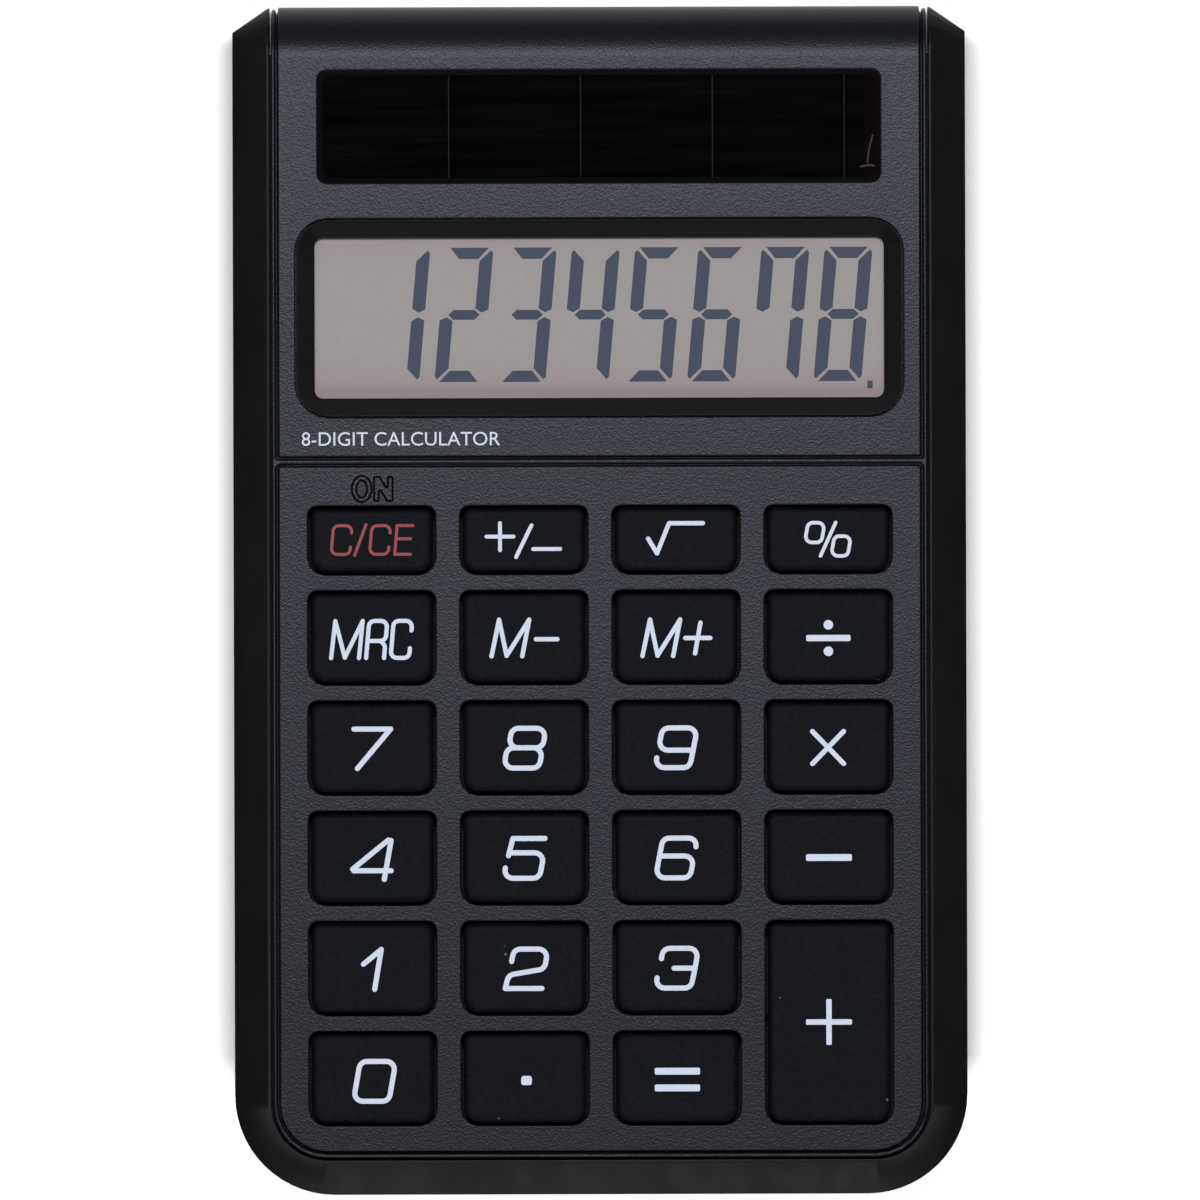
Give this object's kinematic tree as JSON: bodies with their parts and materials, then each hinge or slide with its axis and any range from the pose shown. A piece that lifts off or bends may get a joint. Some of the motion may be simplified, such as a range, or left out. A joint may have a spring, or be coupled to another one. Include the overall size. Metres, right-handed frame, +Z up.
{
  "type": "pocket calculator",
  "caption": "Slim solar-powered pocket calculator with a segment display, rubber push keys in a grid, a dark textured front and a black bevelled frame.",
  "frame": {"origin": "on the surface that the calculator lies on, under the middle of its outline", "axes": "+X to the right of a reader, +Y towards the display end, +Z up out of the key side"},
  "size_m": [0.0704, 0.1142, 0.0098],
  "materials": {
    "front_panel": "fine spark texture",
    "side_frame": "satin",
    "rear_cover": "fine texture",
    "display_bezel": "matte",
    "key_rubber": "matte silicone",
    "mat_rubber": "matte silicone",
    "foot_rubber": "matte",
    "solar_panel": "dark, polished",
    "display_film": "satin grey, semi-opaque",
    "display_glass": "polished",
    "reflector": "satin foil",
    "foam": "matte foam",
    "ribbon": "amber film",
    "circuit_board": "phenolic laminate",
    "chip_resin": "glossy epoxy",
    "capacitor_case": "moulded",
    "diode_case": "moulded",
    "red_insulation": "satin",
    "black_insulation": "satin",
    "steel": "zinc plated"
  },
  "bodies": {
    "casing": {"front_panel": "front_panel", "side_frame": "side_frame", "rear_cover": "rear_cover", "display_bezel": "display_bezel", "key_mat": "mat_rubber", "foot_1": "foot_rubber", "foot_2": "foot_rubber", "foot_3": "foot_rubber", "foot_4": "foot_rubber", "solar_panel": "solar_panel", "lcd_front_film": "display_film", "lcd_front_glass": "display_glass", "lcd_rear_glass": "display_glass", "lcd_reflector": "reflector", "lcd_cushion": "foam", "solar_cushion": "foam", "lcd_ribbon": "ribbon", "main_board": "circuit_board", "controller_chip": "chip_resin", "buffer_capacitor": "capacitor_case", "clamp_diode": "diode_case", "solar_wire_red": "red_insulation", "solar_wire_black": "black_insulation", "case_screw_1": "steel", "case_screw_2": "steel", "case_screw_3": "steel", "case_screw_4": "steel", "case_screw_5": "steel", "case_screw_6": "steel", "board_screw_1": "steel", "board_screw_2": "steel", "board_screw_3": "steel", "board_screw_4": "steel"},
    "key_clear": {"key_clear": "key_rubber"},
    "key_sign_change": {"key_sign_change": "key_rubber"},
    "key_square_root": {"key_square_root": "key_rubber"},
    "key_percent": {"key_percent": "key_rubber"},
    "key_memory_recall": {"key_memory_recall": "key_rubber"},
    "key_memory_minus": {"key_memory_minus": "key_rubber"},
    "key_memory_plus": {"key_memory_plus": "key_rubber"},
    "key_divide": {"key_divide": "key_rubber"},
    "key_7": {"key_7": "key_rubber"},
    "key_8": {"key_8": "key_rubber"},
    "key_9": {"key_9": "key_rubber"},
    "key_multiply": {"key_multiply": "key_rubber"},
    "key_4": {"key_4": "key_rubber"},
    "key_5": {"key_5": "key_rubber"},
    "key_6": {"key_6": "key_rubber"},
    "key_subtract": {"key_subtract": "key_rubber"},
    "key_1": {"key_1": "key_rubber"},
    "key_2": {"key_2": "key_rubber"},
    "key_3": {"key_3": "key_rubber"},
    "key_add": {"key_add": "key_rubber"},
    "key_0": {"key_0": "key_rubber"},
    "key_decimal_point": {"key_decimal_point": "key_rubber"},
    "key_equals": {"key_equals": "key_rubber"}
  },
  "joints": [
    {"name": "press_clear", "type": "slide", "parent": "casing", "child": "key_clear", "axis": [0, 0, -1], "range_m": [0, 0.0008], "stiffness_N_per_m": 800},
    {"name": "press_sign_change", "type": "slide", "parent": "casing", "child": "key_sign_change", "axis": [0, 0, -1], "range_m": [0, 0.0008], "stiffness_N_per_m": 800},
    {"name": "press_square_root", "type": "slide", "parent": "casing", "child": "key_square_root", "axis": [0, 0, -1], "range_m": [0, 0.0008], "stiffness_N_per_m": 800},
    {"name": "press_percent", "type": "slide", "parent": "casing", "child": "key_percent", "axis": [0, 0, -1], "range_m": [0, 0.0008], "stiffness_N_per_m": 800},
    {"name": "press_memory_recall", "type": "slide", "parent": "casing", "child": "key_memory_recall", "axis": [0, 0, -1], "range_m": [0, 0.0008], "stiffness_N_per_m": 800},
    {"name": "press_memory_minus", "type": "slide", "parent": "casing", "child": "key_memory_minus", "axis": [0, 0, -1], "range_m": [0, 0.0008], "stiffness_N_per_m": 800},
    {"name": "press_memory_plus", "type": "slide", "parent": "casing", "child": "key_memory_plus", "axis": [0, 0, -1], "range_m": [0, 0.0008], "stiffness_N_per_m": 800},
    {"name": "press_divide", "type": "slide", "parent": "casing", "child": "key_divide", "axis": [0, 0, -1], "range_m": [0, 0.0008], "stiffness_N_per_m": 800},
    {"name": "press_7", "type": "slide", "parent": "casing", "child": "key_7", "axis": [0, 0, -1], "range_m": [0, 0.0008], "stiffness_N_per_m": 800},
    {"name": "press_8", "type": "slide", "parent": "casing", "child": "key_8", "axis": [0, 0, -1], "range_m": [0, 0.0008], "stiffness_N_per_m": 800},
    {"name": "press_9", "type": "slide", "parent": "casing", "child": "key_9", "axis": [0, 0, -1], "range_m": [0, 0.0008], "stiffness_N_per_m": 800},
    {"name": "press_multiply", "type": "slide", "parent": "casing", "child": "key_multiply", "axis": [0, 0, -1], "range_m": [0, 0.0008], "stiffness_N_per_m": 800},
    {"name": "press_4", "type": "slide", "parent": "casing", "child": "key_4", "axis": [0, 0, -1], "range_m": [0, 0.0008], "stiffness_N_per_m": 800},
    {"name": "press_5", "type": "slide", "parent": "casing", "child": "key_5", "axis": [0, 0, -1], "range_m": [0, 0.0008], "stiffness_N_per_m": 800},
    {"name": "press_6", "type": "slide", "parent": "casing", "child": "key_6", "axis": [0, 0, -1], "range_m": [0, 0.0008], "stiffness_N_per_m": 800},
    {"name": "press_subtract", "type": "slide", "parent": "casing", "child": "key_subtract", "axis": [0, 0, -1], "range_m": [0, 0.0008], "stiffness_N_per_m": 800},
    {"name": "press_1", "type": "slide", "parent": "casing", "child": "key_1", "axis": [0, 0, -1], "range_m": [0, 0.0008], "stiffness_N_per_m": 800},
    {"name": "press_2", "type": "slide", "parent": "casing", "child": "key_2", "axis": [0, 0, -1], "range_m": [0, 0.0008], "stiffness_N_per_m": 800},
    {"name": "press_3", "type": "slide", "parent": "casing", "child": "key_3", "axis": [0, 0, -1], "range_m": [0, 0.0008], "stiffness_N_per_m": 800},
    {"name": "press_add", "type": "slide", "parent": "casing", "child": "key_add", "axis": [0, 0, -1], "range_m": [0, 0.0008], "stiffness_N_per_m": 800},
    {"name": "press_0", "type": "slide", "parent": "casing", "child": "key_0", "axis": [0, 0, -1], "range_m": [0, 0.0008], "stiffness_N_per_m": 800},
    {"name": "press_decimal_point", "type": "slide", "parent": "casing", "child": "key_decimal_point", "axis": [0, 0, -1], "range_m": [0, 0.0008], "stiffness_N_per_m": 800},
    {"name": "press_equals", "type": "slide", "parent": "casing", "child": "key_equals", "axis": [0, 0, -1], "range_m": [0, 0.0008], "stiffness_N_per_m": 800}
  ]
}
